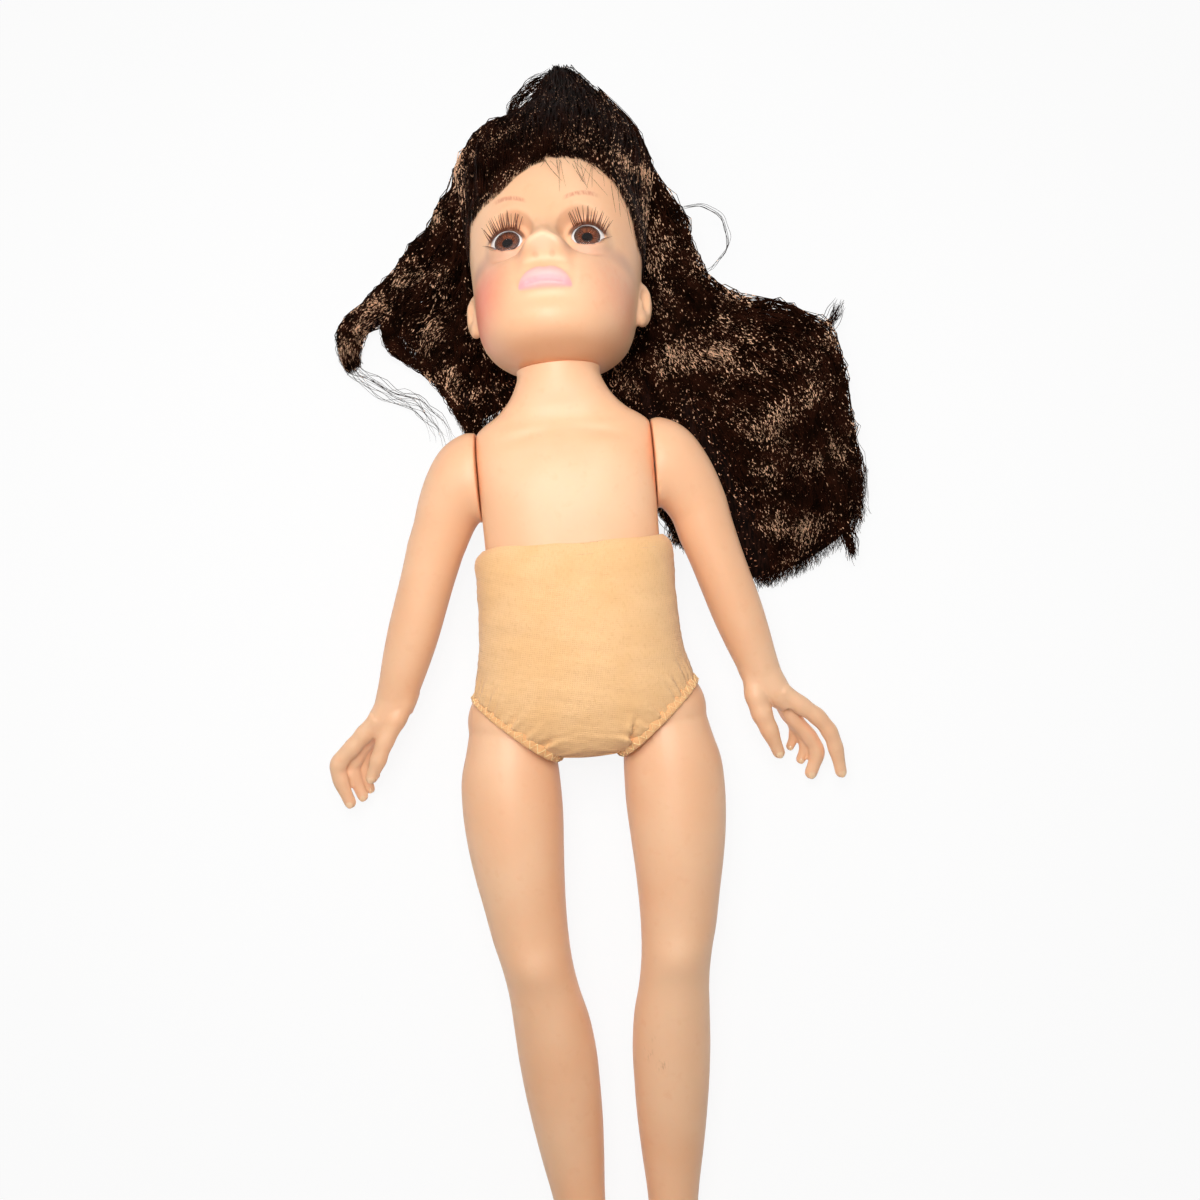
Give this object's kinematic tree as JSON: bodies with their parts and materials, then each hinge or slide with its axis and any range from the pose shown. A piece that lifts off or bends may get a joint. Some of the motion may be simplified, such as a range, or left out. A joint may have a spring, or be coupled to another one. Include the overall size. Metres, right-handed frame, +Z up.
{
  "type": "girl doll",
  "caption": "Play doll lying on its back: vinyl head with fixed eyes and rooted hair, chest plate, turning arms and legs, stuffed cloth torso.",
  "frame": {"origin": "on the surface the doll lies on, in the middle of the flat rest under the seat of the torso", "axes": "+Z up, which is the doll's front; +Y towards the head; +X to the doll's left hand"},
  "size_m": [0.2393, 0.5113, 0.0945],
  "materials": {
    "vinyl": "satin skin-coloured vinyl",
    "cloth": "plain woven cotton, skin-coloured",
    "stuffing": "polyester fibrefill",
    "hair": "wavy dark brown doll hair fibre with copper glints",
    "nylon": "plain moulded",
    "eye_white": "glossy",
    "iris": "printed brown iris",
    "cornea": "clear acrylic dome",
    "lash": "brown bristle"
  },
  "bodies": {
    "torso": {"chest_plate": "vinyl", "waist_tie": "nylon", "torso_cover": "cloth", "torso_stuffing": "stuffing", "leg_binding_left": "cloth", "leg_binding_right": "cloth", "shoulder_washer_left": "nylon", "shoulder_washer_right": "nylon", "hip_washer_left": "nylon", "hip_washer_right": "nylon"},
    "head": {"head_shell": "vinyl", "eye_left": "eye_white", "eye_right": "eye_white", "iris_left": "iris", "iris_right": "iris", "cornea_left": "cornea", "cornea_right": "cornea", "lash_left": "lash", "lash_right": "lash", "hair_cap": "hair", "hair_bed": "hair", "hair_crown": "hair", "hair_mass_left": "hair", "hair_lock_right": "hair"},
    "arm_left": {"arm_left": "vinyl", "shoulder_stem_left": "nylon"},
    "arm_right": {"arm_right": "vinyl", "shoulder_stem_right": "nylon"},
    "leg_left": {"leg_left": "vinyl", "hip_stem_left": "nylon"},
    "leg_right": {"leg_right": "vinyl", "hip_stem_right": "nylon"}
  },
  "joints": [
    {"name": "head_turn", "type": "hinge", "parent": "torso", "child": "head", "pos_m": [0, 0.14262, 0.05388], "axis": [0, 0.9833, 0.1822], "range_deg": [-90, 90], "deforming": ["hair_bed", "hair_crown", "hair_mass_left", "hair_lock_right"]},
    {"name": "shoulder_left", "type": "hinge", "parent": "torso", "child": "arm_left", "pos_m": [0.0358, 0.10231, 0.04641], "axis": [-1, 0, 0], "continuous": true},
    {"name": "shoulder_right", "type": "hinge", "parent": "torso", "child": "arm_right", "pos_m": [-0.0358, 0.10231, 0.04641], "axis": [-1, 0, 0], "continuous": true},
    {"name": "hip_left", "type": "hinge", "parent": "torso", "child": "leg_left", "pos_m": [0.03, 0.003, 0.028], "axis": [-1, 0, 0], "range_deg": [-15, 90], "deforming": ["torso_cover", "leg_binding_left", "torso_stuffing"]},
    {"name": "hip_right", "type": "hinge", "parent": "torso", "child": "leg_right", "pos_m": [-0.03, 0.003, 0.028], "axis": [-1, 0, 0], "range_deg": [-15, 90], "deforming": ["torso_cover", "leg_binding_right", "torso_stuffing"]}
  ]
}
